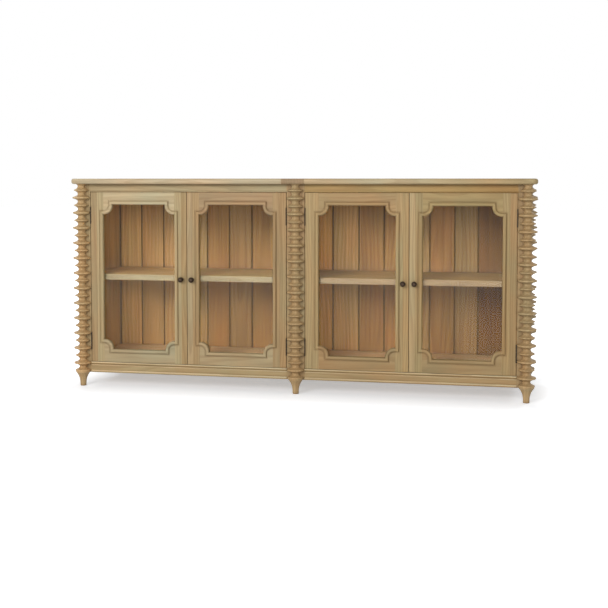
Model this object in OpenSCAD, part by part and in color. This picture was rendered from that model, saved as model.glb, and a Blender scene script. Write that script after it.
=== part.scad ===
// Glazed sideboard with four doors, turned ring columns and turned feet.
// The origin is on the floor at the middle of the footprint. The doors face -Y, and +X is to the
// right as seen from the front. Inside the modules y is measured from the plane of the door
// faces, which also holds the axes of the front columns, and grows towards the back.

/* [Case] */
// Distance between the axes of the left and right columns
column_span = 2031; // [1800:1:2300]
// Distance between the axes of the front and rear columns
column_depth = 463; // [380:1:560]
// Height of the case above the floor
foot_h = 64; // [50:1:90]
// Height of the case between the feet and the top
case_h = 876; // [760:1:960]
// Width of a front corner post
post_w = 42.5; // [36:0.5:60]
// Depth of the corner posts, front and rear
post_d = 45; // [38:0.5:60]
// Width of the stile between the two bays
centre_stile_w = 82; // [80:1:100]
// Height of the rail above the doors
frieze_h = 35.5; // [28:0.5:60]
// Radius of the bead under the frieze rail
frieze_bead_r = 2.5; // [1.5:0.5:3]
// Gap between the ends of this bead and the rings of the columns beside it
frieze_bead_gap = 1; // [0.5:0.5:3]
// Height of the moulded rail below the doors
base_rail_h = 49; // [44:0.5:70]
// Height of the rear rail above the shelves
rear_rail_h = 35; // [25:1:60]
// Distance that the side panels lie back from the outer face of the posts
panel_recess = 4; // [2:0.5:8]
// Thickness of the side panels
panel_t = 16; // [14:0.5:22]
// Thickness of the middle partition
partition_t = 20; // [18:0.5:28]

/* [Top] */
// Thickness of the top
top_t = 25; // [22:0.5:36]
// Distance that the top reaches past the axes of the corner columns
top_overhang = 40; // [30:1:60]
// Radius of the rounded edges of the top
top_edge_r = 10; // [6:0.5:10.5]
// Radius of the corners of the top, seen from above
top_corner_r = 24; // [14:1:30]
// Width of the cross plank in the middle of the top
top_plank_w = 103; // [80:1:160]
// Distance of that plank from the middle of the case
top_plank_shift = -5.5; // [-20:0.5:20]

/* [Columns] */
// Number of rings on a column, the foot flange included
ring_count = 25; // [17:2:27]
// Radius of the large rings on the corner columns
ring_r_large = 41; // [38:0.5:41]
// Radius of the small rings
ring_r_small = 34.5; // [30:0.5:36]
// Radius of the large rings on the centre column, kept clear of the hinges beside it
centre_ring_r = 39; // [37:0.5:39]
// Thickness of the rim of a large ring
rim_large = 9; // [6:0.5:10]
// Thickness of the rim of a small ring
rim_small = 6; // [4:0.5:8]
// Radius of the neck between two rings
neck_r = 17; // [14:0.5:22]
// How sharply the flanks sweep out to the rims
flank_power = 2.3; // [1.6:0.1:3]
// Distance from the top of the case down to the first ring
top_neck_h = 28; // [24:0.5:36]
// Radius of the column where it meets the top
collar_r = 25; // [20:0.5:32]
// Height of the middle of the foot flange above the foot
flange_rise = 9.5; // [8:0.5:14]
// Radius of the foot flange
flange_r = 36; // [34:0.5:39]

/* [Feet] */
// Radius of a foot at its tip
foot_tip_r = 14; // [11:0.5:18]
// Radius of a foot at its top
foot_top_r = 33; // [28:0.5:34]
// Radius of the rounded edge of the tip
foot_tip_round = 2; // [1:0.5:4]
// How sharply a foot flares towards its top
foot_power = 3; // [2:0.1:4]

/* [Floor, back and shelves] */
// Thickness of the floor board
floor_t = 26; // [16:0.5:32]
// Height of the floor board's upper face above the top edge of the base rail
floor_rise = 20; // [4:0.5:24]
// Distance of the back boards' rear face from the axes of the rear columns
back_inset = 14; // [8:0.5:24]
// Thickness of the back boards
back_t = 12; // [9:0.5:18]
// Size of the chamfer on the edges of the back boards
board_chamfer = 4; // [1:0.5:5]
// Gap between two back boards
board_gap = 0.3; // [0.2:0.1:1]
// Height of the shelves' underside above the floor board
shelf_rise = 363; // [250:1:500]
// Thickness of the shelves
shelf_t = 26; // [18:0.5:32]
// Distance of the shelves' front edge from the backs of the doors
shelf_setback = 4; // [2:0.5:30]
// Gap at each end of a shelf
shelf_gap = 0.5; // [0.3:0.1:2]
// Diameter of the shelf pins
shelf_pin_d = 5; // [4:0.5:8]
// Depth of the holes that hold the shelf pins
shelf_hole_d = 8; // [6:0.5:8.5]
// Length of a shelf pin outside its hole
shelf_pin_out = 8; // [6:0.5:14]
// Distance of the shelf pins from the front and the back of the shelf
shelf_pin_in = 60; // [50:1:120]

/* [Doors] */
// Gap round and between the doors
door_gap = 2; // [1.8:0.1:4]
// Thickness of the doors
door_t = 22; // [20:0.5:30]
// Space between the back of a closed door and what stands behind it
stop_gap = 0.5; // [0.3:0.1:2]
// Width of the stile on the hinge side
hinge_stile_w = 30; // [26:0.5:45]
// Width of the stile on the knob side
meeting_stile_w = 26; // [24:0.5:40]
// Height of the top rail of a door
door_rail_top_h = 25; // [22:0.5:45]
// Height of the bottom rail of a door
door_rail_bottom_h = 28; // [22:0.5:60]
// Thickness of the glass
glass_t = 4; // [3:0.5:6]
// Depth of the groove that holds the glass
glass_groove = 8; // [6:0.5:12]
// Space between the glass and its groove
glass_clear = 0.3; // [0.2:0.1:0.5]

/* [Inner frame of the doors] */
// Thickness of the inner frame, in front of the glass
frame_t = 13; // [11:0.5:14]
// Width of its flat border
strip_w = 11; // [6:0.5:20]
// Width of the groove beside the bead
quirk_w = 5; // [3:0.5:8.5]
// Depth of that groove
quirk_d = 2.5; // [1:0.5:6]
// Width of the bead round the glass
bead_w = 16; // [10:0.5:18]
// Height of the bead's crown above the face of the door
bead_rise = 7; // [0:0.5:9]
// Size of the block of flat that fills each corner of the opening
lobe = 45; // [42:0.5:70]
// Radius of the rounded corner of that block
lobe_r = 20.5; // [14:0.5:23.5]
// Gap at the seams between the upright strips of the frame and the rails
frame_seam = 0.15; // [0.1:0.05:0.3]

/* [Knobs] */
// Diameter of a knob
knob_d = 24; // [18:0.5:32]
// Height of the base of a knob
knob_base_h = 3; // [1:0.5:6]
// Distance that a knob stands out from its door
knob_out = 32; // [24:0.5:40]
// Distance of a knob from the edge of the door
knob_inset = 24; // [14:0.5:24]
// Height of a knob above the bottom of the door
knob_rise = 390; // [300:1:480]

/* [Hinges] */
// Height of a hinge
hinge_h = 76; // [60:1:100]
// Distance from the bottom of the door to the middle of the lower hinge
hinge_low = 96; // [70:1:150]
// Distance from the top of the door to the middle of the upper hinge
hinge_high = 107; // [70:1:150]
// Radius of the barrel
barrel_r = 2.4; // [2.2:0.1:2.4]
// Distance from the faces of the doors to the axis of the barrel
barrel_out = 2.6; // [2.6:0.1:3.2]
// Distance from the edge of the door to the axis of the barrel
barrel_side = 0.5; // [0.3:0.1:0.6]
// Gap between the knuckles of a barrel
knuckle_gap = 0.3; // [0.2:0.05:0.5]
// Depth of the leaves into the joint beside the door
leaf_d = 18; // [14:0.5:20]
// Gap between the two leaves
leaf_gap = 0.2; // [0.2:0.05:0.4]
// Radius of the hinge pin
pin_r = 1.2; // [1:0.1:1.4]
// Space between a pin and its bore
pin_clear = 0.05; // [0.03:0.01:0.08]
// Height of the cap on each end of a pin
pin_cap = 1.5; // [1:0.5:3]

/* [Catches] */
// Width of a door catch block
catch_w = 30; // [20:1:50]
// Depth of a door catch block
catch_d = 12; // [8:0.5:20]
// Distance that a catch block reaches down behind its door
catch_drop = 18; // [10:0.5:30]
// Distance that a catch block reaches up the back of the frieze rail
catch_rise = 24; // [15:0.5:26]
// Distance of a catch block's middle from the meeting edges
catch_inset = 30; // [26:1:60]

/* [Hidden] */
DOORS = [1, 2, 3, 4];

$fn = 64;
oak = "burlywood";
oak_dark = "tan";
iron = "dimgray";

// A little more than a cut, so that no skin is left on a face
over = 1;

// Heights
case_bottom = foot_h;
case_top = foot_h + case_h;
floor_top = case_bottom + base_rail_h + floor_rise;
floor_bottom = floor_top - floor_t;
shelf_bottom = floor_top + shelf_rise;

// Sideways
half_span = column_span / 2;
post_in = half_span - post_w;
panel_out = half_span - panel_recess;
panel_in = panel_out - panel_t;
stile_half = centre_stile_w / 2;
partition_half = partition_t / 2;

// Front to back
rail_t = door_t + stop_gap;
back_rear = column_depth - back_inset;
back_front = back_rear - back_t;
shelf_front = door_t + shelf_setback;
shelf_rear = back_front - shelf_gap;

// Doors
door_w = (post_in - stile_half - 3 * door_gap) / 2;
door_bottom = case_bottom + base_rail_h + door_gap;
door_top = case_top - frieze_h - door_gap;
door_h = door_top - door_bottom;

// X of the hinge edge of each door, and the way from there to its knob
door_places = [
    [-post_in + door_gap, 1], [-stile_half - door_gap, -1],
    [stile_half + door_gap, 1], [post_in - door_gap, -1]];

// Hinge heights above the bottom of the door, at the lower end of the barrels
hinge_places = [hinge_low - hinge_h / 2, door_h - hinge_high - hinge_h / 2];
knuckles = 5;
knuckle_h = hinge_h / knuckles;
leaf_t = (door_gap - leaf_gap) / 2;
leaf_front = 0.3;

// Widths of the back boards from left to right, before they are fitted to the case
board_widths = [114, 115, 114, 113, 112, 115, 114, 114, 96,
                79, 127, 122, 109, 109, 117, 110, 115, 95];

function total(list, count) = count == 0 ? 0 : list[count - 1] + total(list, count - 1);

// General shapes

// A box between two values on each axis
module block(x, y, z) {
    translate([x[0], y[0], z[0]])
        cube([x[1] - x[0], y[1] - y[0], z[1] - z[0]]);
}

// A drawing in y and z, drawn out along x
module along_x(x) {
    translate([x[0], 0, 0])
        rotate([90, 0, 90])
            linear_extrude(x[1] - x[0]) children();
}

// A drawing in x and z, drawn out from one depth to another
module along_y(y) {
    translate([0, y[1], 0])
        rotate([90, 0, 0])
            linear_extrude(y[1] - y[0]) children();
}

// The children and their mirror image on the other side of the case
module both_sides() {
    children();
    mirror([1, 0, 0]) children();
}

// The case stands with the middle of its depth on the origin
module in_case() {
    translate([0, -column_depth / 2, 0]) children();
}

// Top

// A bar of the top's thickness with rounded edges
module top_section(length) {
    translate([top_edge_r, 0]) square([length - 2 * top_edge_r, top_t]);
    translate([0, top_edge_r]) square([length, top_t - 2 * top_edge_r]);
    for (x = [top_edge_r, length - top_edge_r], z = [top_edge_r, top_t - top_edge_r])
        translate([x, z]) circle(r = top_edge_r);
}

// The rounded edge alone, from the middle of a corner out to the edge
module top_edge_section() {
    intersection() {
        translate([-top_corner_r, 0]) top_section(2 * top_corner_r);
        square([top_corner_r, top_t]);
    }
}

// The right-hand board of the top, from x_in out to its rounded end
module top_board(x_in) {
    length_y = column_depth + 2 * top_overhang;
    corner_x = half_span + top_overhang - top_corner_r;
    translate([0, -top_overhang, case_top]) {
        along_x([x_in, corner_x]) top_section(length_y);
        translate([corner_x, 0, 0]) {
            along_y([top_corner_r, length_y - top_corner_r]) top_edge_section();
            translate([0, length_y - top_corner_r, 0]) rotate_extrude(angle = 90) top_edge_section();
            translate([0, top_corner_r, 0])
                rotate([0, 0, -90]) rotate_extrude(angle = 90) top_edge_section();
        }
    }
}

plank_left = top_plank_shift - top_plank_w / 2;
plank_right = top_plank_shift + top_plank_w / 2;

module top_left() { color(oak) in_case() mirror([1, 0, 0]) top_board(-plank_left); }
module top_right() { color(oak) in_case() top_board(plank_right); }

module top_centre() {
    color(oak)
        in_case()
            translate([0, -top_overhang, case_top])
                along_x([plank_left, plank_right]) top_section(column_depth + 2 * top_overhang);
}

// Columns

ring_pitch = (case_h - top_neck_h - flange_rise) / (ring_count - 1);
first_ring_z = case_top - top_neck_h;

// Radius of a flank at the share t of its way from the neck to the rim
function flank(rim_r, t) = neck_r + (rim_r - neck_r) * pow(t, flank_power);

// One ring of a column: the flank above it, the round rim and the flank below it
function ring_points(z, r, half, last) = concat(
    [for (t = [0, 0.3, 0.55, 0.8])
        [flank(r - half, t), z + ring_pitch / 2 - t * (ring_pitch / 2 - half)]],
    [for (a = [90:-45:(last ? -45 : -90)]) [r - half + half * cos(a), z + half * sin(a)]],
    last ? [] : [for (t = [0.8, 0.55, 0.3])
        [flank(r - half, t), z - ring_pitch / 2 + t * (ring_pitch / 2 - half)]]);

// Half outline of a whole column, from the top down
function column_points(large_r) = concat(
    [[0, case_top]],
    [for (t = [1, 0.8, 0.55, 0.3])
        [flank(collar_r, t), case_top - (1 - t) * (top_neck_h - ring_pitch / 2)]],
    [for (k = [0:ring_count - 1]) each
        k == ring_count - 1 ? ring_points(first_ring_z - k * ring_pitch, flange_r, rim_large / 2, true)
        : k % 2 == 1 ? ring_points(first_ring_z - k * ring_pitch, large_r, rim_large / 2, false)
        : ring_points(first_ring_z - k * ring_pitch, ring_r_small, rim_small / 2, false)],
    [[foot_top_r, case_bottom], [0, case_bottom]]);

// A column whose round part starts at one angle and sweeps on through another
module column(x, y, large_r, start, sweep) {
    color(oak)
        in_case()
            translate([x, y, 0])
                rotate([0, 0, start])
                    rotate_extrude(angle = sweep)
                        polygon(column_points(large_r));
}

module column_front_left() { column(-half_span, 0, ring_r_large, 90, 270); }
module column_front_centre() { column(0, 0, centre_ring_r, 180, 180); }
module column_front_right() { column(half_span, 0, ring_r_large, 180, 270); }
module column_rear_left() { column(-half_span, column_depth, ring_r_large, 0, 270); }
module column_rear_right() { column(half_span, column_depth, ring_r_large, 270, 270); }

// Feet

foot_points = concat(
    [[0, 0]],
    [for (a = [-90:30:0])
        [foot_tip_r - foot_tip_round + foot_tip_round * cos(a), foot_tip_round + foot_tip_round * sin(a)]],
    [for (t = [0.2:0.1:1])
        [foot_tip_r + (foot_top_r - foot_tip_r) * pow(t, foot_power), t * foot_h]],
    [[0, foot_h]]);

module feet() {
    color(oak)
        in_case()
            for (place = [[-half_span, 0], [0, 0], [half_span, 0],
                          [-half_span, column_depth], [0, back_front - rail_t / 2],
                          [half_span, column_depth]])
                translate(place) rotate_extrude() polygon(foot_points);
}

// Posts, stile and panels

module post_front() {
    block([post_in, half_span], [0, post_d], [case_bottom, case_top]);
}

module post_front_left() { color(oak) in_case() mirror([1, 0, 0]) post_front(); }
module post_front_right() { color(oak) in_case() post_front(); }

module rear_posts() {
    color(oak)
        in_case()
            both_sides()
                block([panel_in, half_span], [column_depth - post_d, column_depth], [case_bottom, case_top]);
}

module centre_stile() {
    color(oak)
        in_case()
            block([-stile_half, stile_half], [0, rail_t], [case_bottom, case_top]);
}

// Distances of the shelf pins from the plane of the door faces
pin_depths = [shelf_front + shelf_pin_in, shelf_rear - shelf_pin_in];
pin_z = shelf_bottom - shelf_pin_d / 2;

// Round bars along x at both pin depths, from one value of x to another
module pin_bars(x, d) {
    for (y = pin_depths)
        translate([x[0], y, pin_z])
            rotate([0, 90, 0]) cylinder(d = d, h = x[1] - x[0]);
}

// The holes are a little wider than the pins
shelf_hole_clear = 0.1;

module side_panel() {
    difference() {
        block([panel_in, panel_out], [post_d, column_depth - post_d], [case_bottom, case_top]);
        pin_bars([panel_in - over, panel_in + shelf_hole_d], shelf_pin_d + shelf_hole_clear);
    }
}

module side_left() { color(oak) in_case() mirror([1, 0, 0]) side_panel(); }
module side_right() { color(oak) in_case() side_panel(); }

module partition() {
    color(oak_dark)
        in_case()
            difference() {
                block([-partition_half, partition_half], [rail_t, back_front], [floor_top, case_top]);
                both_sides()
                    pin_bars([partition_half - shelf_hole_d, partition_half + over],
                             shelf_pin_d + shelf_hole_clear);
            }
}

module floor_board() {
    color(oak_dark)
        in_case()
            difference() {
                block([-panel_in, panel_in], [rail_t, back_front], [floor_bottom, floor_top]);
                both_sides()
                    block([post_in, panel_in + over], [rail_t - over, post_d],
                          [floor_bottom - over, floor_top + over]);
            }
}

// Rails

// Radius of the ring of a corner column that stands nearest to the height of the frieze bead
bead_ring_r = round((frieze_h - top_neck_h) / ring_pitch) % 2 == 1 ? ring_r_large : ring_r_small;

// The bead under the frieze rail runs on past the rail, over the post and the stile
module frieze_rails() {
    bottom = case_top - frieze_h;
    color(oak)
        in_case()
            both_sides() {
                along_x([stile_half, post_in]) translate([0, bottom]) square([rail_t, frieze_h]);
                along_x([bead_ring_r + frieze_bead_gap, half_span - bead_ring_r - frieze_bead_gap])
                    intersection() {
                        translate([0, bottom + frieze_bead_r]) circle(r = frieze_bead_r);
                        translate([-frieze_bead_r, bottom]) square([frieze_bead_r, 2 * frieze_bead_r]);
                    }
            }
}

// Mouldings of the base rail: radius and how far the crown stands out
base_top_bead = [4.5, 4];
base_low_bead = [5, 3];
base_cove_r = 3.5;
base_quirk_r = 2;

module base_rails() {
    rail_top = case_bottom + base_rail_h;
    bead_bottom = rail_top - 2 * base_top_bead[0];
    color(oak)
        in_case()
            both_sides()
                along_x([stile_half, post_in]) {
                    difference() {
                        translate([0, case_bottom]) square([rail_t, base_rail_h]);
                        translate([0, bead_bottom - base_cove_r]) circle(r = base_cove_r);
                        translate([0, case_bottom + 2 * base_low_bead[0] + base_quirk_r])
                            circle(r = base_quirk_r);
                    }
                    translate([base_top_bead[0] - base_top_bead[1], rail_top - base_top_bead[0]])
                        circle(r = base_top_bead[0]);
                    translate([base_low_bead[0] - base_low_bead[1], case_bottom + base_low_bead[0]])
                        circle(r = base_low_bead[0]);
                }
}

module rear_rails() {
    color(oak_dark)
        in_case() {
            block([-panel_in, panel_in], [back_front - rail_t, back_front], [case_bottom, floor_bottom]);
            both_sides()
                block([partition_half, panel_in], [back_front - rail_t, back_front],
                      [case_top - rear_rail_h, case_top]);
        }
}

// Back and shelves

module back_boards() {
    count = len(board_widths);
    share = 2 * panel_in / total(board_widths, count);
    color(oak_dark)
        in_case()
            for (i = [0:count - 1]) {
                left = -panel_in + share * total(board_widths, i) + board_gap / 2;
                right = -panel_in + share * total(board_widths, i + 1) - board_gap / 2;
                translate([0, 0, case_bottom])
                    linear_extrude(case_h)
                        polygon([
                            [left, back_rear], [left, back_front + board_chamfer],
                            [left + board_chamfer, back_front], [right - board_chamfer, back_front],
                            [right, back_front + board_chamfer], [right, back_rear]]);
            }
}

module shelf() {
    difference() {
        block([partition_half + shelf_gap, panel_in - shelf_gap], [shelf_front, shelf_rear],
              [shelf_bottom, shelf_bottom + shelf_t]);
        block([post_in - shelf_gap, panel_in + over], [shelf_front - over, post_d + shelf_gap],
              [shelf_bottom - over, shelf_bottom + shelf_t + over]);
    }
}

module shelf_left() { color(oak_dark) in_case() mirror([1, 0, 0]) shelf(); }
module shelf_right() { color(oak_dark) in_case() shelf(); }

module shelf_pins() {
    color(iron)
        in_case()
            both_sides() {
                pin_bars([partition_half - shelf_hole_d, partition_half + shelf_pin_out], shelf_pin_d);
                pin_bars([panel_in - shelf_pin_out, panel_in + shelf_hole_d], shelf_pin_d);
            }
}

// Doors
// Each door is drawn with its hinge edge at x = 0, its lower edge at z = 0 and its face at y = 0.

module in_door(n) {
    place = door_places[n - 1];
    in_case()
        translate([place[0], 0, door_bottom])
            mirror([place[1] < 0 ? 1 : 0, 0, 0]) children();
}

glass_x = [hinge_stile_w - glass_groove + glass_clear,
           door_w - meeting_stile_w + glass_groove - glass_clear];
glass_z = [door_rail_bottom_h - glass_groove + glass_clear,
           door_h - door_rail_top_h + glass_groove - glass_clear];
groove_y = [frame_t - glass_clear / 2, frame_t + glass_t + glass_clear / 2];

// The space that the glass and the tongues of the rails take in the stiles and rails
module glass_space(x, z) { block(x, groove_y, z); }

module door_stile_hinge() {
    difference() {
        block([0, hinge_stile_w], [0, door_t], [0, door_h]);
        glass_space([hinge_stile_w - glass_groove, hinge_stile_w + over], [-over, door_h + over]);
    }
}

module door_stile_meeting() {
    difference() {
        block([door_w - meeting_stile_w, door_w], [0, door_t], [0, door_h]);
        glass_space([door_w - meeting_stile_w - over, door_w - meeting_stile_w + glass_groove],
                    [-over, door_h + over]);
    }
}

module door_glass() {
    block(glass_x, [frame_t, frame_t + glass_t], glass_z);
}

// Inner frame
// The flat border ends at the edge lines. A block of flat fills each corner of the opening, its own
// corner is rounded, and the groove and the bead follow that outline. The frame is cut at the inner
// edges of its upright beads: an upright strip runs beside each stile, as high as the door, and the
// rest is the front of the two rails.

frame_x = [hinge_stile_w, door_w - meeting_stile_w];
edge_x = [frame_x[0] + strip_w, frame_x[1] - strip_w];
edge_z = [door_rail_bottom_h + strip_w, door_h - door_rail_top_h - strip_w];
edge_w = edge_x[1] - edge_x[0];
edge_h = edge_z[1] - edge_z[0];
lobe_centre = lobe - lobe_r;
bead_r = bead_w / 2;
bead_centre = bead_r - bead_rise;
moulding_w = quirk_w + bead_w;
open_x = [edge_x[0] + moulding_w, edge_x[1] - moulding_w];

// The children at each corner of the edge lines, turned so that the opening lies up and right
module at_frame_corners() {
    for (i = [0, 1], j = [0, 1])
        translate([edge_x[i], 0, edge_z[j]])
            mirror([i, 0, 0]) mirror([0, 0, j]) children();
}

// The opening, drawn in by d from the edge lines and their corner blocks
module opening_outline(d) {
    difference() {
        translate([edge_x[0] + d, edge_z[0] + d]) square([edge_w - 2 * d, edge_h - 2 * d]);
        for (i = [0, 1], j = [0, 1])
            translate([edge_x[i], edge_z[j]])
                mirror([i, 0]) mirror([0, j]) {
                    square([lobe_centre, lobe + d]);
                    square([lobe + d, lobe_centre]);
                    translate([lobe_centre, lobe_centre]) circle(r = lobe_r + d);
                }
    }
}

// Section of the bead: x across it and y into the door
module bead_section() {
    translate([0, bead_centre]) square([bead_w, frame_t - bead_centre]);
    intersection() {
        translate([bead_r, bead_centre]) circle(r = bead_r);
        translate([0, -bead_rise]) square([bead_w, bead_r]);
    }
}

// A straight bead along x with a mitre at its start and, if asked for, at its end
module bead_run(length, end_mitre) {
    intersection() {
        along_y([-bead_rise, frame_t])
            polygon([[0, 0], [length, 0], [length - (end_mitre ? bead_w : 0), bead_w], [bead_w, bead_w]]);
        along_x([0, length])
            mirror([1, -1]) bead_section();
    }
}

// The bead round one corner block: a quarter turn and a short mitred run on each side of it
module lobe_bead() {
    for (turn = [0, 1])
        mirror([turn, 0, -turn])
            translate([quirk_w, 0, lobe + quirk_w]) bead_run(lobe_centre - quirk_w, false);
    translate([lobe_centre, 0, lobe_centre])
        rotate([-90, 0, 0])
            rotate([0, 0, -90])
                rotate_extrude(angle = 90)
                    translate([lobe_r + quirk_w, 0]) bead_section();
}

module frame_whole() {
    along_y([0, frame_t])
        difference() {
            translate([frame_x[0], 0]) square([frame_x[1] - frame_x[0], door_h]);
            opening_outline(0);
        }
    // The floor of the groove runs on inside the flat on one side and inside the bead on the other
    along_y([quirk_d, frame_t])
        difference() {
            opening_outline(-over);
            opening_outline(quirk_w + bead_r);
        }
    at_frame_corners() lobe_bead();
    for (j = [0, 1])
        translate([edge_x[0] + lobe + quirk_w, 0, edge_z[j]])
            mirror([0, 0, j])
                translate([0, 0, quirk_w]) bead_run(edge_w - 2 * lobe - 2 * quirk_w, true);
    for (i = [0, 1])
        translate([edge_x[i], 0, edge_z[0] + lobe + quirk_w])
            mirror([i, 0, 0])
                translate([quirk_w, 0, 0])
                    mirror([1, 0, -1]) bead_run(edge_h - 2 * lobe - 2 * quirk_w, true);
}

// The upright strips of the inner frame, as high as the door
module door_inner_frame() {
    for (x = [[frame_x[0], open_x[0]], [open_x[1], frame_x[1]]])
        intersection() {
            frame_whole();
            block(x, [-bead_rise - over, frame_t + over], [-over, door_h + over]);
        }
}

// A rail: z0 is its plain edge and z1 the edge of the groove for the glass. Its front is the part of
// the frame between the upright strips. It laps behind them, and its tongues enter the stiles.
module door_rail(z0, z1) {
    side = z1 > z0 ? 1 : -1;
    groove_end = z1 - side * glass_groove;
    between_strips = [open_x[0] + frame_seam, open_x[1] - frame_seam];
    beside_groove = [min(z0, groove_end), max(z0, groove_end)];
    intersection() {
        frame_whole();
        block(between_strips, [-bead_rise - over, frame_t + over],
              side > 0 ? [-over, door_h / 2] : [door_h / 2, door_h + over]);
    }
    difference() {
        block(frame_x, [frame_t, door_t], [min(z0, z1), max(z0, z1)]);
        glass_space([frame_x[0] - over, frame_x[1] + over],
                    [min(groove_end, z1 + side * over), max(groove_end, z1 + side * over)]);
    }
    block(between_strips, [0, door_t], beside_groove);
    block(glass_x, [frame_t, frame_t + glass_t], beside_groove);
}

// Knob, turned: a base, a waist and a rounded head
module door_knob() {
    head_r = knob_d / 2;
    translate([door_w - knob_inset, 0, knob_rise])
        rotate([90, 0, 0]) {
            cylinder(r = head_r * 0.75, h = knob_base_h);
            cylinder(r = head_r * 0.42, h = knob_out - head_r * 0.6);
            translate([0, 0, knob_out - head_r])
                intersection() {
                    sphere(r = head_r);
                    translate([0, 0, -head_r * 0.45]) cylinder(r = head_r, h = 2 * head_r);
                }
        }
}

// Hinges
// They are drawn in the door's own place, so the fixed leaves lie at negative x.

hinge_x = -barrel_side;
hinge_y = -barrel_out;

// The knuckles whose number leaves the given rest, with the webs that join them to the leaf
module hinge_half(rest, leaf_x) {
    difference() {
        union() {
            block(leaf_x, [leaf_front, leaf_d], [0, hinge_h]);
            for (k = [0:knuckles - 1])
                if (k % 2 == rest)
                    translate([0, 0, k * knuckle_h + knuckle_gap / 2]) {
                        translate([hinge_x, hinge_y, 0])
                            cylinder(r = barrel_r, h = knuckle_h - knuckle_gap);
                        block(leaf_x, [hinge_y, leaf_front + over], [0, knuckle_h - knuckle_gap]);
                    }
        }
        translate([hinge_x, hinge_y, -over])
            cylinder(r = pin_r + pin_clear, h = hinge_h + 2 * over);
    }
}

module door_hinge_leaves() {
    for (z = hinge_places)
        translate([0, 0, z]) hinge_half(1, [-leaf_t, 0]);
}

module hinge_leaves_fixed() {
    color(iron)
        for (n = DOORS)
            in_door(n)
                for (z = hinge_places)
                    translate([0, 0, z]) hinge_half(0, [-door_gap, -door_gap + leaf_t]);
}

module hinge_pins() {
    color(iron)
        for (n = DOORS)
            in_door(n)
                for (z = hinge_places)
                    translate([hinge_x, hinge_y, z + knuckle_gap / 2]) {
                        length = hinge_h - knuckle_gap;
                        cylinder(r = pin_r, h = length);
                        translate([0, 0, -pin_cap]) cylinder(r = barrel_r, h = pin_cap);
                        translate([0, 0, length]) cylinder(r = barrel_r, h = pin_cap);
                    }
}

// Catches: a block behind the knob side of each door, fixed to the back of the frieze rail
module door_catches() {
    color(oak_dark)
        for (n = DOORS)
            in_door(n)
                block([door_w - catch_inset - catch_w / 2, door_w - catch_inset + catch_w / 2],
                      [rail_t, rail_t + catch_d],
                      [door_h - catch_drop, door_h + door_gap + catch_rise]);
}

top_left();
top_centre();
top_right();
column_front_left();
column_front_centre();
column_front_right();
column_rear_left();
column_rear_right();
feet();
post_front_left();
post_front_right();
rear_posts();
centre_stile();
side_left();
side_right();
partition();
floor_board();
frieze_rails();
base_rails();
rear_rails();
back_boards();
shelf_left();
shelf_right();
shelf_pins();
hinge_leaves_fixed();
hinge_pins();
door_catches();
for (n = DOORS) {
    door = str("door_", n, "_");
    color(oak) in_door(n) door_stile_hinge();
    color(oak) in_door(n) door_stile_meeting();
    color(oak) in_door(n) door_rail(door_h, door_h - door_rail_top_h);
    color(oak) in_door(n) door_rail(0, door_rail_bottom_h);
    color(oak) in_door(n) door_inner_frame();
    color("lightcyan") in_door(n) door_glass();
    color(iron) in_door(n) door_knob();
    color(iron) in_door(n) door_hinge_leaves();
}
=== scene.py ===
# Looks of the glazed sideboard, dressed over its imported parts. All lengths are in metres unless a
# name or a comment says mm. The doors face -Y, +X is to the right as seen from the front, and Z is up.

import math

import bmesh
import bpy
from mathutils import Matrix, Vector


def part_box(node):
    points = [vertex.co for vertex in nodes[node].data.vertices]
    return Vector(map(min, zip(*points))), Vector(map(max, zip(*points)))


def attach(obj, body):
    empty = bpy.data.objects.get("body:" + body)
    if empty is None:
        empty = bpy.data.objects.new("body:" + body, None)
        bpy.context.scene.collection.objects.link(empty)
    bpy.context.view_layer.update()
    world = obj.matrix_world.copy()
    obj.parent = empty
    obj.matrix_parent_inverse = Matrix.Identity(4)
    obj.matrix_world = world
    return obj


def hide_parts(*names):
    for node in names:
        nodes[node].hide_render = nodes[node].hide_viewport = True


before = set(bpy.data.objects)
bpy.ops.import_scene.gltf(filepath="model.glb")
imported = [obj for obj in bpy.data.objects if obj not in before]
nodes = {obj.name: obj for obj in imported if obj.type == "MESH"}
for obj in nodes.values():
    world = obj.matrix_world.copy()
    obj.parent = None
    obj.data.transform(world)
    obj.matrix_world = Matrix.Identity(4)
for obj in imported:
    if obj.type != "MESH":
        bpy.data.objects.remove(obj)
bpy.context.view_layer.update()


# ---- Small helpers for shader trees ----

def srgb(red, green, blue):
    """A colour as it is read on a screen, 0 to 255, turned into linear light."""
    parts = [c / 255 for c in (red, green, blue)]
    return tuple(c / 12.92 if c <= 0.04045 else ((c + 0.055) / 1.055) ** 2.4 for c in parts) + (1.0,)


def scaled(colour, by):
    return tuple(min(1.0, c * by) for c in colour[:3]) + (1.0,)


def tinted(colour, by):
    """A colour with its red, green and blue each taken by its own share."""
    return tuple(c * share for c, share in zip(colour, by)) + (1.0,)


def place(tree, kind, inputs=None, **settings):
    """Adds a node; inputs are values or sockets by name or number."""
    made = tree.nodes.new(kind)
    for name, value in settings.items():
        setattr(made, name, value)
    for key, value in (inputs or {}).items():
        if isinstance(value, bpy.types.NodeSocket):
            tree.links.new(value, made.inputs[key])
        else:
            made.inputs[key].default_value = value
    return made


def maths(tree, operation, a, b=0.0, c=0.0, clamp=False):
    return place(tree, "ShaderNodeMath", {0: a, 1: b, 2: c}, operation=operation, use_clamp=clamp).outputs[0]


def blend_colours(tree, share, a, b, how="MIX"):
    return place(tree, "ShaderNodeMix", {0: share, 6: a, 7: b}, data_type="RGBA", blend_type=how).outputs[2]


def spread(tree, value, low, high, to_low=0.0, to_high=1.0, how="LINEAR"):
    return place(tree, "ShaderNodeMapRange", {0: value, 1: low, 2: high, 3: to_low, 4: to_high},
                 interpolation_type=how).outputs[0]


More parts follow.
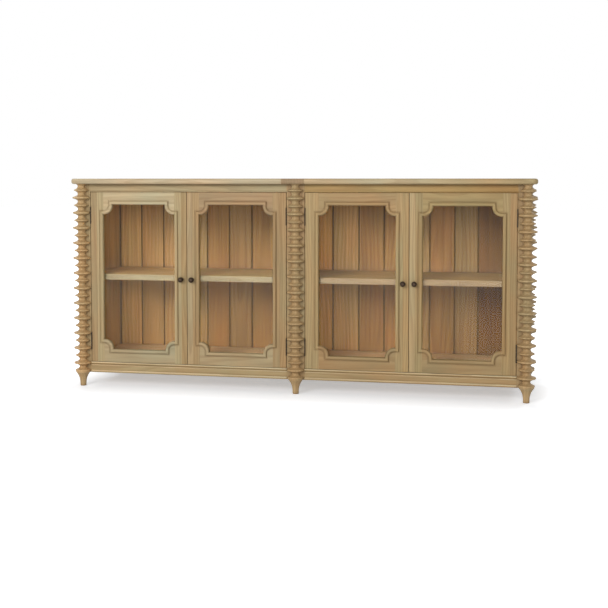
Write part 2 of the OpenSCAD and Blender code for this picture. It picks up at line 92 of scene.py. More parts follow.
def noise(tree, vector, scale, detail=2.0, rough=0.5, distortion=0.0):
    return place(tree, "ShaderNodeTexNoise", {"Vector": vector, "Scale": scale, "Detail": detail,
                                              "Roughness": rough, "Distortion": distortion}).outputs[0]


def new_group(name, inputs, outputs):
    """A shader group with named sockets; returns it with its inner inputs and outputs."""
    tree = bpy.data.node_groups.new(name, "ShaderNodeTree")
    for label, kind, value in inputs:
        socket = tree.interface.new_socket(label, in_out="INPUT", socket_type="NodeSocket" + kind)
        if value is not None:
            socket.default_value = value
    for label, kind in outputs:
        tree.interface.new_socket(label, in_out="OUTPUT", socket_type="NodeSocket" + kind)
    return tree, tree.nodes.new("NodeGroupInput").outputs, tree.nodes.new("NodeGroupOutput").inputs


def use_group(tree, group, inputs):
    return place(tree, "ShaderNodeGroup", inputs, node_tree=group).outputs


# ---- Effects that several finishes share ----

def make_wood_figure():
    """Growth rings, streaks, fibres and soft patches of wood whose grain runs along the vector's Z.
    The heart of the tree lies near the surface in some places and far from it in others, so wide
    boards show arches and narrow ones straight grain."""
    tree, given, out = new_group(
        "wood_figure",
        [("Vector", "Vector", None), ("Seed", "Float", 0.0), ("Rings", "Float", 85.0),
         ("Wave", "Float", 1.0)],
        [("Ring", "Float"), ("Streak", "Float"), ("Fibre", "Float"), ("Patch", "Float"),
         ("Height", "Float")])
    chance = place(tree, "ShaderNodeTexWhiteNoise", {"W": given["Seed"]},
                   noise_dimensions="1D").outputs["Color"]
    offset = place(tree, "ShaderNodeSeparateColor", {0: chance}).outputs
    parts = place(tree, "ShaderNodeSeparateXYZ", {0: given["Vector"]}).outputs
    x = maths(tree, "MULTIPLY_ADD", offset[0], 3.7, parts[0])
    y = maths(tree, "MULTIPLY_ADD", offset[1], 2.9, parts[1])
    z = maths(tree, "MULTIPLY_ADD", offset[2], 9.1, parts[2])

    def stretched(along):
        shortened = maths(tree, "MULTIPLY", z, along)
        return place(tree, "ShaderNodeCombineXYZ", {0: x, 1: y, 2: shortened}).outputs[0]

    bend = maths(tree, "SUBTRACT", noise(tree, stretched(0.22), 4.0, 2.0), 0.5)
    bend = maths(tree, "MULTIPLY", bend, given["Wave"])
    lean = maths(tree, "SUBTRACT", noise(tree, stretched(0.45), 2.3, 1.0), 0.5)
    beside = maths(tree, "PINGPONG", maths(tree, "MULTIPLY_ADD", bend, 0.10, x), 0.13)
    behind = maths(tree, "MULTIPLY_ADD", lean, 0.12, maths(tree, "MULTIPLY", y, 0.7))
    behind = maths(tree, "PINGPONG", behind, 0.06)
    heart = maths(tree, "SQRT", maths(tree, "ADD", maths(tree, "MULTIPLY", beside, beside),
                                      maths(tree, "MULTIPLY", behind, behind)))
    ruffle = maths(tree, "SUBTRACT", noise(tree, stretched(0.12), 26.0, 3.0), 0.5)
    age = maths(tree, "MULTIPLY", maths(tree, "MULTIPLY_ADD", ruffle, 0.010, heart), given["Rings"])
    year = maths(tree, "FRACT", age)
    late = maths(tree, "MULTIPLY", spread(tree, year, 0.15, 0.86, 0.0, 1.0, "SMOOTHSTEP"),
                 spread(tree, year, 0.88, 1.0, 1.0, 0.0, "SMOOTHSTEP"))
    streak = noise(tree, stretched(0.035), 52.0, 4.0, 0.62, 0.25)
    fibre = noise(tree, stretched(0.022), 560.0, 2.0, 0.55)
    patch = noise(tree, stretched(0.40), 8.0, 3.0, 0.55)
    tree.links.new(late, out["Ring"])
    tree.links.new(spread(tree, streak, 0.28, 0.72), out["Streak"])
    tree.links.new(fibre, out["Fibre"])
    tree.links.new(spread(tree, patch, 0.30, 0.70), out["Patch"])
    height = maths(tree, "MULTIPLY_ADD", fibre, 0.6, maths(tree, "MULTIPLY", late, -0.3))
    tree.links.new(height, out["Height"])
    return tree


def make_recess_shade():
    """Where wax and dust settle and where shade is painted: 1 deep in corners and grooves, 0 in the open."""
    tree, given, out = new_group(
        "recess_shade", [("Reach", "Float", 0.012), ("Strength", "Float", 1.0)], [("Mask", "Float")])
    open_share = place(tree, "ShaderNodeAmbientOcclusion", {"Distance": given["Reach"]},
                       samples=8).outputs["AO"]
    closed = maths(tree, "SUBTRACT", 1.0, open_share, clamp=True)
    tree.links.new(maths(tree, "MULTIPLY", closed, given["Strength"], clamp=True), out["Mask"])
    return tree


def make_edge_wear_and_highlight():
    """Rubbed edges, and a painted highlight along them: 1 on a convex edge, broken up by a patchy noise."""
    tree, given, out = new_group(
        "edge_wear_and_highlight", [("Vector", "Vector", None), ("Reach", "Float", 0.003), ("Strength", "Float", 1.0)],
        [("Mask", "Float")])
    inner = place(tree, "ShaderNodeAmbientOcclusion", {"Distance": given["Reach"]}, samples=6,
                  inside=True, only_local=True).outputs["AO"]
    edge = spread(tree, inner, 0.75, 0.35)
    broken = spread(tree, noise(tree, given["Vector"], 30.0, 3.0), 0.35, 0.65)
    rubbed = maths(tree, "MULTIPLY", edge, broken)
    tree.links.new(maths(tree, "MULTIPLY", rubbed, given["Strength"], clamp=True), out["Mask"])
    return tree


wood_figure = make_wood_figure()
recess_shade = make_recess_shade()
edge_wear_and_highlight = make_edge_wear_and_highlight()


# ---- Finishes ----

# What is left of the wood's red, green and blue in its pores, on end grain, and in recesses under settled
# glaze and painted shade
PORE, END_GRAIN, RECESS_GLAZE_AND_SHADE = (0.50, 0.42, 0.33), (0.62, 0.54, 0.45), (0.30, 0.21, 0.13)
# And what contrast takes from them in late wood
LATE_LOSS = (0.50, 0.62, 0.72)


def new_material(name):
    material = bpy.data.materials.new(name)
    material.use_nodes = True
    tree = material.node_tree
    return material, tree, tree.nodes["Principled BSDF"]


def turned_to_grain(tree, grain, which="Object"):
    """Object coordinates, or the surface's direction, with the grain on the third axis."""
    spot = place(tree, "ShaderNodeTexCoord").outputs[which]
    if grain == "Z":
        return spot
    parts = place(tree, "ShaderNodeSeparateXYZ", {0: spot}).outputs
    order = {"X": (1, 2, 0), "Y": (0, 2, 1)}[grain]
    return place(tree, "ShaderNodeCombineXYZ", {i: parts[k] for i, k in enumerate(order)}).outputs[0]


def stepped_tones(tree, axis, low, high, tones):
    """A tint for each board: tones is [(where it starts, tint)] between low and high on an axis."""
    spot = place(tree, "ShaderNodeSeparateXYZ", {0: place(tree, "ShaderNodeTexCoord").outputs["Object"]})
    share = spread(tree, spot.outputs["XYZ".index(axis)], low, high)
    ramp = place(tree, "ShaderNodeValToRGB", {0: share})
    ramp.color_ramp.interpolation = "CONSTANT"
    points = ramp.color_ramp.elements
    while len(points) > 1:
        points.remove(points[-1])
    for i, (start, tone) in enumerate(tones):
        point = points[0] if i == 0 else points.new((start - low) / (high - low))
        point.position = max(0.0, (start - low) / (high - low))
        point.color = tuple(tone) + (1.0,) if isinstance(tone, tuple) else (tone, tone, tone, 1.0)
    return ramp.outputs[0]


def wood(name, grain, tone, seed, contrast=0.46, glaze_and_shade=0.8, wear_and_highlight=0.35, rings=85.0, wave=1.0,
         steps=None, turning=0.0, fade=None):
    """Waxed and glazed wood. steps is (axis, low, high, tones) where several boards share the
    material, turning is the depth of the lathe's fine lines, and fade is (axis, from, to, tint)
    where the wood changes its tint from one place to another."""
    material, tree, shader = new_material(name)
    spot = turned_to_grain(tree, grain)
    board = stepped_tones(tree, *steps) if steps else None
    inputs = {"Vector": spot, "Rings": rings, "Wave": wave,
              "Seed": maths(tree, "MULTIPLY_ADD", board, 57.0, seed) if steps else seed}
    figure = use_group(tree, wood_figure, inputs)

    # Early and late wood, then streaks along the grain
    early = scaled(tone, 1.0 + contrast * 0.30)
    late = tinted(tone, [1 - contrast * loss for loss in LATE_LOSS])
    figured = maths(tree, "MULTIPLY_ADD", figure["Ring"], 0.42,
                    maths(tree, "MULTIPLY", figure["Streak"], 0.58))
    colour = blend_colours(tree, figured, early, late)
    # Pinkish and greyish areas
    pink, grey = (1.09, 0.965, 0.85, 1.0), (0.935, 1.015, 1.02, 1.0)
    colour = blend_colours(tree, 1.0, colour, blend_colours(tree, figure["Patch"], pink, grey), "MULTIPLY")
    # Pores
    pore = spread(tree, figure["Fibre"], 0.56, 0.74, 0.0, 0.30)
    colour = blend_colours(tree, pore, colour, tinted(tone, PORE))
    # End grain takes more of the glaze
    upright = place(tree, "ShaderNodeSeparateXYZ", {0: turned_to_grain(tree, grain, "Normal")}).outputs[2]
    end = spread(tree, maths(tree, "ABSOLUTE", upright), 0.55, 0.98, 0.0, 0.30, "SMOOTHSTEP")
    colour = blend_colours(tree, end, colour, tinted(tone, END_GRAIN))
    if board:
        colour = blend_colours(tree, 1.0, colour, board, "MULTIPLY")
    if fade:
        along = place(tree, "ShaderNodeSeparateXYZ", {0: place(tree, "ShaderNodeTexCoord").outputs["Object"]})
        share = spread(tree, along.outputs["XYZ".index(fade[0])], fade[1], fade[2], 0.0, 1.0, "SMOOTHSTEP")
        colour = blend_colours(tree, share, colour, blend_colours(tree, 1.0, colour, fade[3], "MULTIPLY"))
    # Convex edges paler: partly rubbed wear, partly a painted highlight
    wear_and_highlight_mask = use_group(tree, edge_wear_and_highlight, {"Vector": spot, "Strength": wear_and_highlight})["Mask"]
    colour = blend_colours(tree, wear_and_highlight_mask, colour, scaled(tone, 1.18))
    # Corners and grooves darker: partly settled glaze, partly painted shade
    glaze_and_shade_mask = use_group(tree, recess_shade, {"Reach": 0.016, "Strength": glaze_and_shade})["Mask"]
    colour = blend_colours(tree, glaze_and_shade_mask, colour, tinted(tone, RECESS_GLAZE_AND_SHADE))
    tree.links.new(colour, shader.inputs["Base Color"])
    rough = maths(tree, "MULTIPLY_ADD", figure["Fibre"], 0.16, 0.43)
    rough = maths(tree, "MULTIPLY_ADD", figure["Patch"], 0.12, rough)
    tree.links.new(rough, shader.inputs["Roughness"])
    height = figure["Height"]
    if turning:
        rise = place(tree, "ShaderNodeSeparateXYZ", {0: spot}).outputs[2]
        lines = noise(tree, place(tree, "ShaderNodeCombineXYZ", {2: rise}).outputs[0], 900.0, 2.0)
        height = maths(tree, "MULTIPLY_ADD", lines, turning, height)
    bump = place(tree, "ShaderNodeBump", {"Height": height, "Strength": 0.5, "Distance": 0.0006})
    tree.links.new(bump.outputs[0], shader.inputs["Normal"])
    shader.inputs["Specular IOR Level"].default_value = 0.30
    return material


def aged_metal(name, colour, bare, rough=0.42):
    """Dark patinated metal, rubbed brighter on its edges."""
    material, tree, shader = new_material(name)
    spot = place(tree, "ShaderNodeTexCoord").outputs["Object"]
    mottle = spread(tree, noise(tree, spot, 260.0, 4.0, 0.6), 0.3, 0.7)
    tarnish = noise(tree, spot, 60.0, 3.0)
    base = blend_colours(tree, mottle, scaled(colour, 0.65), scaled(colour, 1.5))
    wear_and_highlight_mask = use_group(tree, edge_wear_and_highlight, {"Vector": spot, "Reach": 0.0012, "Strength": 0.8})["Mask"]
    tree.links.new(blend_colours(tree, wear_and_highlight_mask, base, bare), shader.inputs["Base Color"])
    tree.links.new(maths(tree, "MULTIPLY_ADD", tarnish, 0.3, rough - 0.1), shader.inputs["Roughness"])
    tree.links.new(spread(tree, mottle, 0.0, 1.0, 0.75, 1.0), shader.inputs["Metallic"])
    bump = place(tree, "ShaderNodeBump", {"Height": mottle, "Strength": 0.35, "Distance": 0.0003})
    tree.links.new(bump.outputs[0], shader.inputs["Normal"])
    return material


def clear_glass():
    """A clear pane with a little ripple. Light from the lamps passes straight through."""
    material, tree, shader = new_material("clear_glass")
    spot = place(tree, "ShaderNodeTexCoord").outputs["Object"]
    shader.inputs["Base Color"].default_value = (0.985, 0.995, 0.99, 1.0)
    shader.inputs["Transmission Weight"].default_value = 1.0
    shader.inputs["IOR"].default_value = 1.2
    smear = spread(tree, noise(tree, spot, 7.0, 3.0), 0.35, 0.75, 0.0, 0.03)
    tree.links.new(smear, shader.inputs["Roughness"])
    ripple = noise(tree, spot, 9.0, 1.0)
    bump = place(tree, "ShaderNodeBump", {"Height": ripple, "Strength": 0.15, "Distance": 0.001})
    tree.links.new(bump.outputs[0], shader.inputs["Normal"])
    through = place(tree, "ShaderNodeBsdfTransparent", {0: (0.96, 0.98, 0.97, 1.0)})
    path = place(tree, "ShaderNodeLightPath").outputs["Is Shadow Ray"]
    mix = place(tree, "ShaderNodeMixShader", {0: path, 1: shader.outputs[0], 2: through.outputs[0]})
    tree.links.new(mix.outputs[0], tree.nodes["Material Output"].inputs["Surface"])
    return material


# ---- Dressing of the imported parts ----

def softened(node, edge_mm):
    """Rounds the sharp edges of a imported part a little; its own mesh keeps its points."""
    mesh = node.data
    for name in ("custom_normal", "sharp_edge", "sharp_face"):
        if name in mesh.attributes:
            mesh.attributes.remove(mesh.attributes[name])
    mesh.polygons.foreach_set("use_smooth", [True] * len(mesh.polygons))
    weld = node.modifiers.new("joined", "WELD")
    weld.merge_threshold = 0.00001
    flat = node.modifiers.new("flats", "DECIMATE")
    flat.decimate_type = "DISSOLVE"
    flat.angle_limit = math.radians(0.6)
    flat.delimit = {"MATERIAL"}
    edge = node.modifiers.new("edges", "BEVEL")
    edge.width = edge_mm / 1000
    edge.segments = 2
    edge.limit_method = "ANGLE"
    edge.angle_limit = math.radians(35)
    edge.harden_normals = True
    edge.use_clamp_overlap = True
    node.modifiers.new("shading", "WEIGHTED_NORMAL").keep_sharp = True


def dress(name, material, edge_mm=0.8):
    """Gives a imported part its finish, and softens its edges unless edge_mm is 0."""
    node = nodes[name]
    node.data.materials.clear()
    node.data.materials.append(material)
    if edge_mm:
        softened(node, edge_mm)
    return node


def lined(node, material, *ways):
    """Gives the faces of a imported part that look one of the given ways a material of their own."""
    node.data.materials.append(material)
    for polygon in node.data.polygons:
        if any(polygon.normal.dot(Vector(way).normalized()) > 0.9 for way in ways):
            polygon.material_index = len(node.data.materials) - 1


# ---- Turned pieces ----

# Axes of the corner columns
FRONT, REAR = -0.2315, 0.2315
SPAN = 1.0155
# Heights in mm: of the case, and of the middle of the first ring and the last
CASE_BOTTOM, CASE_TOP = 64.0, 940.0
RING_COUNT, FIRST_RING, LAST_RING = 25, 912.0, 73.5
RING_PITCH = (FIRST_RING - LAST_RING) / (RING_COUNT - 1)
# Radii in mm: the neck between rings, the collar under the top, the small rings and the last one
NECK, COLLAR, SMALL_RIM, LAST_RIM = 17.0, 25.0, 34.5, 36.0
# Half the height of a large and of a small rim, in mm
LARGE_HALF, SMALL_HALF = 4.5, 3.0
# Radii of a foot at its top and its tip, and of the tip's rounded edge, in mm
FOOT_TOP, FOOT_TIP, TIP_ROUND = 33.0, 14.0, 2.0


def sweep_out(rim, share):
    """Radius in a scoop: the neck's at share 0 and the rim's at share 1."""
    return NECK + (rim - NECK) * share ** 2.3


def ring_outline(z, radius, half, last):
    """One ring from above: the scoop, the rounded rim, and the scoop below it."""
    scoop = RING_PITCH / 2
    steps = [0.0, 0.14, 0.28, 0.42, 0.55, 0.67, 0.78, 0.88, 0.95]
    points = [(sweep_out(radius - half, t), z + scoop - t * (scoop - half)) for t in steps]
    low = -45 if last else -90
    turn = [90 - 15 * i for i in range(int((90 - low) / 15) + 1)]
    points += [(radius - half + half * math.cos(math.radians(a)), z + half * math.sin(math.radians(a)))
               for a in turn]
    if not last:
        points += [(sweep_out(radius - half, t), z - scoop + t * (scoop - half)) for t in reversed(steps[1:])]
    return points


def column_outline(large):
    """Half outline of a column from the top down; large is the radius of every second ring in mm."""
    collar = CASE_TOP - FIRST_RING - RING_PITCH / 2
    points = [(sweep_out(COLLAR, t), CASE_TOP - (1 - t) * collar)
              for t in (1.0, 0.88, 0.75, 0.6, 0.45, 0.3, 0.15)]
    for k in range(RING_COUNT):
        z = FIRST_RING - k * RING_PITCH
        if k == RING_COUNT - 1:
            points += ring_outline(z, LAST_RIM, LARGE_HALF, True)
        elif k % 2:
            points += ring_outline(z, large, LARGE_HALF, False)
        else:
            points += ring_outline(z, SMALL_RIM, SMALL_HALF, False)
    return points + [(FOOT_TOP, CASE_BOTTOM)]


def foot_outline():
    steps = 24
    points = [(FOOT_TOP, CASE_BOTTOM)]
    points += [(FOOT_TIP + (FOOT_TOP - FOOT_TIP) * (t / steps) ** 3, CASE_BOTTOM * t / steps)
               for t in range(steps - 1, 2, -1)]
    points += [(FOOT_TIP, TIP_ROUND)]
    points += [(FOOT_TIP - TIP_ROUND + TIP_ROUND * math.cos(math.radians(a)),
                TIP_ROUND + TIP_ROUND * math.sin(math.radians(a))) for a in (-22.5, -45, -67.5, -90)]
    return points


def turned(name, outlines, material, steps, start=0.0, sweep=360.0):
    """Turned work: outlines is [(centre x, centre y, points)], each from the top down in mm. Where
    start and sweep leave a part of the round out, it is closed as a solid along its axis."""
    creased = math.radians(42)
    work = bmesh.new()
    for cx, cy, points in outlines:
        whole = sweep >= 360
        rows = []
        for i in range(steps if whole else steps + 1):
            angle = math.radians(start + sweep * i / steps)
            across, along = math.cos(angle), math.sin(angle)
            rows.append([work.verts.new((cx + r / 1000 * across, cy + r / 1000 * along, z / 1000))
                         for r, z in points])
        for i in range(steps):
            one, two = rows[i], rows[(i + 1) % len(rows)]
            for j in range(len(points) - 1):
                work.faces.new((one[j], one[j + 1], two[j + 1], two[j])).smooth = True
        if whole:
            work.faces.new([row[0] for row in rows])
            work.faces.new([row[-1] for row in reversed(rows)])
        else:
            head = work.verts.new((cx, cy, points[0][1] / 1000))
            tail = work.verts.new((cx, cy, points[-1][1] / 1000))
            work.faces.new([head] + [row[0] for row in rows])
            work.faces.new([tail] + [row[-1] for row in reversed(rows)])
            work.faces.new([head, tail] + list(reversed(rows[0])))
            work.faces.new([tail, head] + rows[-1])
    bmesh.ops.recalc_face_normals(work, faces=work.faces)
    for edge in work.edges:
        if len(edge.link_faces) == 2 and edge.calc_face_angle(0) > creased:
            edge.smooth = False
    mesh = bpy.data.meshes.new(name)
    work.to_mesh(mesh)
    work.free()
    mesh.materials.append(material)
    piece = bpy.data.objects.new(name, mesh)
    bpy.context.scene.collection.objects.link(piece)
    return piece


def stand_for(piece, body, slot, *replaced):
    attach(piece, body)
    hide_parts(*replaced)


# Tones that several pieces share
CASE = srgb(168, 145, 107)
TURNED = srgb(186, 161, 121)
INSIDE = srgb(165, 130, 81)
SHELF_TOP = srgb(182, 150, 96)


# ---- Columns and feet ----

# Name, x and y of the axis, radius of the large rings in mm, where the round starts and how far it
# goes in degrees, and how light the wood is
COLUMNS = [
    ("column_front_left", -SPAN, FRONT, 41.0, 90, 270, 1.15),
    ("column_front_centre", 0.0, FRONT, 39.0, 180, 180, 1.0),
    ("column_front_right", SPAN, FRONT, 41.0, 180, 270, 0.98),
    ("column_rear_left", -SPAN, REAR, 41.0, 0, 270, 0.98),
    ("column_rear_right", SPAN, REAR, 41.0, 270, 270, 0.98)]
DEGREES_A_STEP = 3.75
for seed, (name, x, y, large, start, sweep, light) in enumerate(COLUMNS):
    finish = wood("wood_" + name, "Z", scaled(TURNED, light), 3.1 + seed, contrast=0.4, wear_and_highlight=0.6, turning=0.5)
    piece = turned("ringed_" + name, [(x, y, column_outline(large))], finish,
                   round(sweep / DEGREES_A_STEP), start, sweep)
    stand_for(piece, "cabinet", "turned_wood", name)

# The middle foot at the rear stands under the rear rail
UNDER_REAR_RAIL = 0.19425
feet_at = [(-SPAN, FRONT), (0.0, FRONT), (SPAN, FRONT), (-SPAN, REAR), (0.0, UNDER_REAR_RAIL), (SPAN, REAR)]
feet = turned("turned_feet", [(x, y, foot_outline()) for x, y in feet_at],
              wood("wood_feet", "Z", scaled(TURNED, 0.97), 11.3, turning=0.5), 64)
stand_for(feet, "cabinet", "turned_wood", "feet")


# ---- Case ----

# Tints of single boards
PLAIN, WARM, BROWN, COOL = (1.0, 1.0, 1.0), (1.07, 0.95, 0.75), (1.10, 0.88, 0.58), (0.97, 1.01, 1.02)


def halves(right_tint):
    """Steps for a pair of rails: the left one plain, and the right one with a tint."""
    return ("X", -0.98, 0.98, [(-0.98, PLAIN), (0.0, right_tint)])


# Planks of the top, from the front to the rear
planks = ("Y", -0.2715, 0.2715,
          [(-0.2715, 1.0), (-0.168, 0.93), (-0.055, 1.04), (0.049, 0.96), (0.163, 1.01)])
dress("top_left", wood("wood_top_left", "X", srgb(196, 178, 148), 25.0, contrast=0.42, wave=1.4,
                       steps=planks))
dress("top_right", wood("wood_top_right", "X", srgb(188, 172, 140), 26.0, contrast=0.42, wave=1.4,
                        steps=planks, fade=("X", 0.3, 0.95, (0.84, 0.78, 0.66, 1.0))))
dress("top_centre", wood("wood_top_centre", "Y", srgb(164, 141, 112), 21.0, contrast=0.45))

for name, light, seed in (("post_front_left", 1.0, 31.0), ("post_front_right", 0.94, 32.0),
                          ("rear_posts", 0.95, 33.0), ("centre_stile", 0.96, 34.0)):
    dress(name, wood("wood_" + name, "Z", scaled(CASE, light), seed))

# The frieze turns darker and browner towards its right end: painted shade
dress("frieze_rails", wood("wood_frieze", "X", srgb(174, 156, 121), 41.0, contrast=0.42,
                           steps=halves((0.99, 0.85, 0.60)), fade=("X", 0.4, 0.95, (0.88, 0.79, 0.68, 1.0))))
base_halves = halves((0.94, 0.93, 0.91))
base = dress("base_rails", wood("wood_base", "X", scaled(CASE, 1.09), 42.5, contrast=0.42, steps=base_halves))
# The faces of the moulding's crown under the doors that look up, or up and forward, get a paler wood: a
# painted highlight
lined(base, wood("wood_base_crown_highlight", "X", srgb(222, 205, 170), 43.5, glaze_and_shade=0.2, steps=base_halves),
      (0, -1, 1), (0, -0.6, 1), (0, 0, 1))

# Boards of the side panels, from the front to the rear
side_boards = ("Y", -0.19, 0.19, [(-0.19, 1.0), (-0.06, 0.93), (0.07, 1.04)])
# The inner face of the left side is lightened by a quarter against the shade it lies in: painted light
for name, inward, light, seed in (("side_left", (1, 0, 0), 1.25, 37.0),
                                  ("side_right", (-1, 0, 0), 1.0, 38.0)):
    side = dress(name, wood("wood_" + name, "Z", CASE, seed, contrast=0.4, wave=1.4, steps=side_boards))
    lined(side, wood("wood_inner_" + name, "Z", scaled(INSIDE, light), seed + 2, contrast=0.5, wave=1.4,
                     steps=side_boards), inward)

# Back boards, from left to right: width in mm, lightness and tint. The lightness is partly each board's own
# tone and partly painted light: the first boards of each bay are lightened against the shade that falls
# there, and the last two at the right are darkened as painted shade
BOARDS = [
    (114, 1.52, PLAIN), (115, 1.18, PLAIN), (114, 1.11, PLAIN), (113, 1.02, COOL), (112, 0.88, WARM),
    (115, 0.95, PLAIN), (114, 0.86, WARM), (114, 0.94, PLAIN), (96, 0.92, PLAIN),
    (79, 1.52, WARM), (127, 1.37, PLAIN), (122, 0.82, WARM), (109, 0.89, WARM), (109, 0.91, COOL),
    (117, 0.82, WARM), (110, 0.89, COOL), (115, 0.49, BROWN), (95, 0.52, BROWN)]
INNER_HALF = 0.9955
metres = 2 * INNER_HALF / sum(width for width, light, tint in BOARDS)
inner_steps, passed = [], 0
for width, light, tint in BOARDS:
    inner_steps.append((-INNER_HALF + metres * passed, tuple(light * c for c in tint)))
    passed += width
# The fade darkens the boards towards the bottom: painted shade
back = dress("back_boards", wood("wood_back", "Z", INSIDE, 51.0, contrast=0.62, rings=60.0, wave=1.1,
                                 steps=("X", -INNER_HALF, INNER_HALF, inner_steps),
                                 fade=("Z", 0.60, 0.40, (0.88, 0.84, 0.76, 1.0))), 0)
# The chamfers of the V-joints take a darker wood: dust in the joints and painted shade in the grooves
lined(back, wood("wood_back_joints", "Z", scaled(INSIDE, 0.55), 52.0), (1, -1, 0), (-1, -1, 0))
# Behind, the boards are unwaxed and differ less; their steps keep a fifth of the inner steps' lightness,
# painted light included
outer_steps = [(start, 1.0 + 0.2 * (tone[1] - 1.0)) for start, tone in inner_steps]
lined(back, wood("wood_back_outer", "Z", srgb(160, 136, 100), 51.5, contrast=0.45, rings=60.0,
                 steps=("X", -INNER_HALF, INNER_HALF, outer_steps)), (0, 1, 0))

dress("floor_board", wood("wood_floor", "X", srgb(212, 180, 136), 53.0))
dress("rear_rails", wood("wood_rear_rails", "X", scaled(INSIDE, 0.92), 54.0))
dress("partition", wood("wood_partition", "Z", scaled(INSIDE, 0.94), 55.0, contrast=0.5, wave=1.4))
dress("door_catches", wood("wood_catches", "X", scaled(INSIDE, 0.92), 56.0))
for name, edge, light, seed in (("shelf_left", srgb(164, 150, 116), 1.14, 57.0),
                                ("shelf_right", srgb(159, 138, 104), 0.93, 58.0)):
    shelf = dress(name, wood("wood_" + name, "X", edge, seed, wave=1.2))
    lined(shelf, wood("wood_upper_" + name, "X", scaled(SHELF_TOP, light), seed + 2, wave=1.2), (0, 0, 1))


# ---- Doors ----

knob_metal = aged_metal("dark_bronze", srgb(62, 50, 40), srgb(150, 130, 110))
hinge_metal = aged_metal("dark_iron", srgb(58, 50, 42), srgb(130, 118, 104), 0.5)
steel = aged_metal("shelf_pin_steel", srgb(150, 150, 148), srgb(205, 205, 205), 0.35)
glass = clear_glass()


def knob_outline():
    """Half outline of a knob in mm, from the crown of its head down to the door."""
    head = [(12 * math.sin(math.radians(a)), 20 + 12 * math.cos(math.radians(a))) for a in range(3, 118, 6)]
    waist = [(8.2, 12.5), (6.6, 10.8), (5.6, 9.0), (5.1, 7.2), (5.3, 5.6), (6.2, 4.4), (7.6, 3.6), (8.6, 3.0)]
    foot = [(9.0, 2.4), (9.0, 0.6), (8.6, 0.0)]
    return head + waist + foot


# For each door, from left to right: the tones of its hinge stile, meeting stile, top rail, bottom
# rail and upright strips
DOORS = [
    (srgb(165, 143, 107), srgb(166, 143, 103), srgb(189, 174, 141), srgb(174, 159, 127), srgb(178, 160, 123)),
    (srgb(165, 140, 101), srgb(174, 153, 118), srgb(168, 142, 108), srgb(176, 155, 120), srgb(168, 144, 106)),
    (srgb(174, 151, 110), srgb(170, 147, 105), srgb(168, 141, 101), srgb(162, 136, 97), srgb(172, 149, 108)),
    (srgb(163, 137, 97), srgb(178, 159, 121), srgb(168, 144, 100), srgb(164, 140, 101), srgb(166, 143, 102))]

for n, (hinge_stile, meeting_stile, top_rail, bottom_rail, strips) in enumerate(DOORS, 1):
    body, seed = "door_%d" % n, 60.0 + n * 5
    dress(body + "_stile_hinge", wood(body + "_hinge_stile_wood", "Z", hinge_stile, seed))
    dress(body + "_stile_meeting", wood(body + "_meeting_stile_wood", "Z", meeting_stile, seed + 1))
    dress(body + "_rail_top",
          wood(body + "_top_rail_wood", "X", top_rail, seed + 2, contrast=0.4, glaze_and_shade=0.4), 0.5)
    dress(body + "_rail_bottom",
          wood(body + "_bottom_rail_wood", "X", bottom_rail, seed + 3, contrast=0.4, glaze_and_shade=0.4), 0.5)
    dress(body + "_inner_frame", wood(body + "_strips_wood", "Z", strips, seed + 4, glaze_and_shade=0.4), 0.5)
    dress(body + "_glass", glass, 0)
    dress(body + "_hinge_leaves", hinge_metal, 0)
    low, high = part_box(body + "_knob")
    x, z = (low.x + high.x) / 2, (low.z + high.z) / 2
    knob = turned("turned_knob_%d" % n, [(0.0, 0.0, knob_outline())], knob_metal, 48)
    for vertex in knob.data.vertices:
        across, side, out = vertex.co
        vertex.co = (x + across, FRONT - out, z + side)
    stand_for(knob, body, "knob_metal", body + "_knob")
dress("hinge_leaves_fixed", hinge_metal, 0)
dress("hinge_pins", hinge_metal, 0)
dress("shelf_pins", steel, 0)


# ---- Floor, light and camera ----

def directly_seen(tree):
    """1 for what is seen in itself or in glass and metal, and 0 for light between surfaces."""
    path = place(tree, "ShaderNodeLightPath").outputs
    return maths(tree, "MAXIMUM", path["Is Camera Ray"],
                 maths(tree, "MAXIMUM", path["Is Glossy Ray"], path["Is Transmission Ray"]))


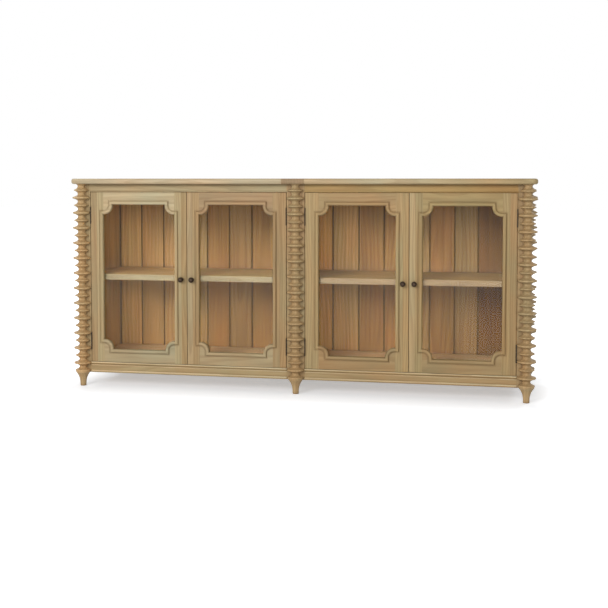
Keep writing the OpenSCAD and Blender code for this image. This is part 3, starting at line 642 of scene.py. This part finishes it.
def make_floor():
    work = bmesh.new()
    reach = 30.0
    corners = [work.verts.new((x * reach, y * reach, 0.0)) for x, y in ((-1, -1), (1, -1), (1, 1), (-1, 1))]
    work.faces.new(corners)
    mesh = bpy.data.meshes.new("studio_floor")
    work.to_mesh(mesh)
    work.free()
    material, tree, shader = new_material("studio_floor_white")
    spot = place(tree, "ShaderNodeTexCoord").outputs["Object"]
    grey = spread(tree, noise(tree, spot, 3.0, 3.0), 0.3, 0.7, 0.80, 0.82)
    cool = blend_colours(tree, 1.0, grey, (0.96, 0.99, 1.03, 1.0), "MULTIPLY")
    tree.links.new(cool, shader.inputs["Base Color"])
    shader.inputs["Roughness"].default_value = 0.9
    shader.inputs["Specular IOR Level"].default_value = 0.1
    # As it is seen, the floor turns plain white away from the sideboard. This glow is painted light: weak
    # near the sideboard, so the shade under it stays, and strong to its sides, where it paints out the
    # shadows the lamps cast there
    parts = place(tree, "ShaderNodeSeparateXYZ", {0: spot}).outputs
    past_side = maths(tree, "SUBTRACT", maths(tree, "ABSOLUTE", parts[0]), SPAN)
    past_front = maths(tree, "SUBTRACT", maths(tree, "ABSOLUTE", parts[1]), REAR)
    away = maths(tree, "MAXIMUM", maths(tree, "MULTIPLY", past_side, 4.0),
                 maths(tree, "MULTIPLY", past_front, 1.8))
    glow = spread(tree, away, -0.1, 0.95, 0.42, 1.0, "SMOOTHSTEP")
    shader.inputs["Emission Color"].default_value = (0.985, 0.99, 1.0, 1.0)
    strength = maths(tree, "MULTIPLY", directly_seen(tree), glow)
    tree.links.new(strength, shader.inputs["Emission Strength"])
    mesh.materials.append(material)
    floor = bpy.data.objects.new("studio_floor", mesh)
    bpy.context.scene.collection.objects.link(floor)


def make_world():
    world = bpy.data.worlds.new("studio")
    world.use_nodes = True
    bpy.context.scene.world = world
    tree = world.node_tree
    fill = tree.nodes["Background"]
    fill.inputs[0].default_value = (1.0, 0.99, 0.97, 1.0)
    fill.inputs[1].default_value = 0.30
    white = place(tree, "ShaderNodeBackground", {0: (1.0, 1.0, 1.0, 1.0), 1: 1.0})
    mix = place(tree, "ShaderNodeMixShader",
                {0: directly_seen(tree), 1: fill.outputs[0], 2: white.outputs[0]})
    tree.links.new(mix.outputs[0], tree.nodes["World Output"].inputs["Surface"])


def softbox(name, spot, target, width, height, power):
    """A lamp with a soft square face, turned towards a target; power is in watts."""
    light = bpy.data.lights.new(name, "AREA")
    light.shape = "RECTANGLE"
    light.size, light.size_y, light.energy = width, height, power
    made = bpy.data.objects.new(name, light)
    made.location = spot
    made.rotation_euler = (Vector(target) - Vector(spot)).to_track_quat("-Z", "Y").to_euler()
    bpy.context.scene.collection.objects.link(made)


def make_camera():
    """The camera stands as it did for the photo: before the right-hand end, turned to the left."""
    down, left = 3.16, 11.74
    camera = bpy.data.cameras.new("camera")
    camera.sensor_width = 36.0
    camera.lens = 65.338
    camera.shift_y = -0.1038
    camera.clip_end = 200.0
    made = bpy.data.objects.new("camera", camera)
    made.location = (1.0364, -5.0343, 0.9588)
    made.rotation_euler = (math.radians(90 - down), 0.0, math.radians(left))
    bpy.context.scene.collection.objects.link(made)
    bpy.context.scene.camera = made


make_floor()
make_world()
softbox("key_light", (-2.4, -7.2, 3.5), (0.0, -0.1, 0.45), 3.2, 2.2, 275.0)
softbox("front_light", (1.7, -7.5, 2.2), (0.0, -0.1, 0.45), 4.4, 2.2, 130.0)
softbox("rear_light_left", (-5.0, 6.0, 4.8), (0.0, 0.1, 0.45), 3.0, 2.0, 140.0)
softbox("rear_light_right", (5.0, 6.0, 4.8), (0.0, 0.1, 0.45), 3.0, 2.0, 140.0)
make_camera()
bpy.context.scene.view_settings.view_transform = "Standard"
